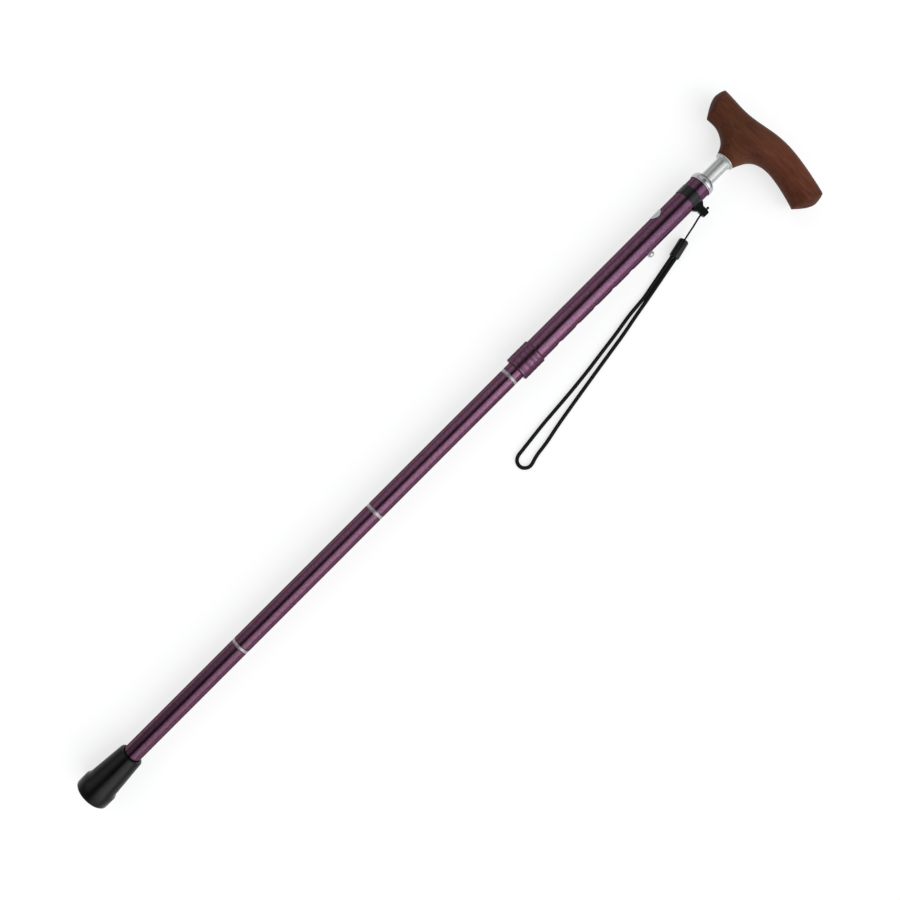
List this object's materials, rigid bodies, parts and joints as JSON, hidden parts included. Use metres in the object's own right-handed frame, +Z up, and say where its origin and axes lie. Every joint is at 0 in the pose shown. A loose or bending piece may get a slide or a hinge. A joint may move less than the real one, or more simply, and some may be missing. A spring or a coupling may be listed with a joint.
{
  "type": "walking cane",
  "caption": "Folding walking cane with a T-shaped wooden handle, telescoping height adjustment, a clamping collar, a rubber tip and a wrist strap, lying on its side.",
  "frame": {"origin": "on the surface that the cane lies on, under the middle of the box round the cane without its strap", "axes": "+X along the shaft from the rubber tip to the handle, +Z up from the surface that the cane lies on, and -Y on the side of the height button and the long arm of the handle"},
  "size_m": [0.7508, 0.1165, 0.03],
  "materials": {
    "lacquered_tube": "glossy metallic purple lacquer",
    "rubber": "matt black",
    "wood": "satin varnish, reddish brown",
    "chrome": "polished",
    "steel": "bright",
    "aluminium": "plain",
    "nylon": "natural nylon",
    "black_plastic": "black",
    "elastic": "covered rubber cord",
    "braid": "black braided cord",
    "label": "blank silver sticker"
  },
  "bodies": {
    "upper_part": {"handle": "wood", "handle_stud": "steel", "neck_cup": "chrome", "neck_cap": "chrome", "tube_plug": "aluminium", "plug_pin": "steel", "upper_tube": "lacquered_tube", "blank_label": "label", "strap_ring": "black_plastic", "strap_string": "braid", "string_knot": "braid", "strap_bead": "black_plastic", "wrist_loop": "braid"},
    "wedge": {"wedge_ring": "nylon"},
    "collar": {"lock_collar": "lacquered_tube"},
    "inner_part": {"inner_tube": "lacquered_tube", "guide_bush": "nylon", "snap_clip": "steel", "top_anchor": "black_plastic", "anchor_pin": "steel"},
    "button": {"snap_button": "chrome"},
    "second_section": {"tube_section_2": "lacquered_tube", "joint_ring_1": "steel", "connector_1": "aluminium"},
    "third_section": {"tube_section_3": "lacquered_tube", "joint_ring_2": "steel", "connector_2": "aluminium"},
    "fourth_section": {"tube_section_4": "lacquered_tube", "joint_ring_3": "steel", "connector_3": "aluminium", "foot_anchor": "black_plastic", "tip_washer": "steel", "rubber_tip": "rubber", "elastic_cord": "elastic"}
  },
  "joints": [
    {"name": "wedge_travel", "type": "slide", "parent": "upper_part", "child": "wedge", "axis": [-1, 0, 0], "range_m": [0, 0.0015]},
    {"name": "collar_turn", "type": "hinge", "parent": "wedge", "child": "collar", "pos_m": [0.09935, 0.0164, 0.015], "axis": [-1, 0, 0], "range_deg": [0, 360]},
    {"name": "height_slide", "type": "slide", "parent": "upper_part", "child": "inner_part", "axis": [-1, 0, 0], "range_m": [0, 0.1], "deforming": ["snap_button"]},
    {"name": "button_press", "type": "slide", "parent": "inner_part", "child": "button", "axis": [0, 1, 0], "range_m": [0, 0.005], "stiffness_N_per_m": 1500, "deforming": ["snap_clip"]},
    {"name": "fold_pull_1", "type": "slide", "parent": "inner_part", "child": "second_section", "axis": [-1, 0, 0], "range_m": [0, 0.045], "stiffness_N_per_m": 150, "springref_m": -0.1},
    {"name": "fold_pull_2", "type": "slide", "parent": "second_section", "child": "third_section", "axis": [-1, 0, 0], "range_m": [0, 0.045], "stiffness_N_per_m": 150, "springref_m": -0.1},
    {"name": "fold_pull_3", "type": "slide", "parent": "third_section", "child": "fourth_section", "axis": [-1, 0, 0], "range_m": [0, 0.045], "stiffness_N_per_m": 150, "springref_m": -0.1, "deforming": ["elastic_cord"]}
  ],
  "couplings": [
    {"joint": "wedge_travel", "follows": "collar_turn", "m_per_rad": 0.0002387}
  ]
}
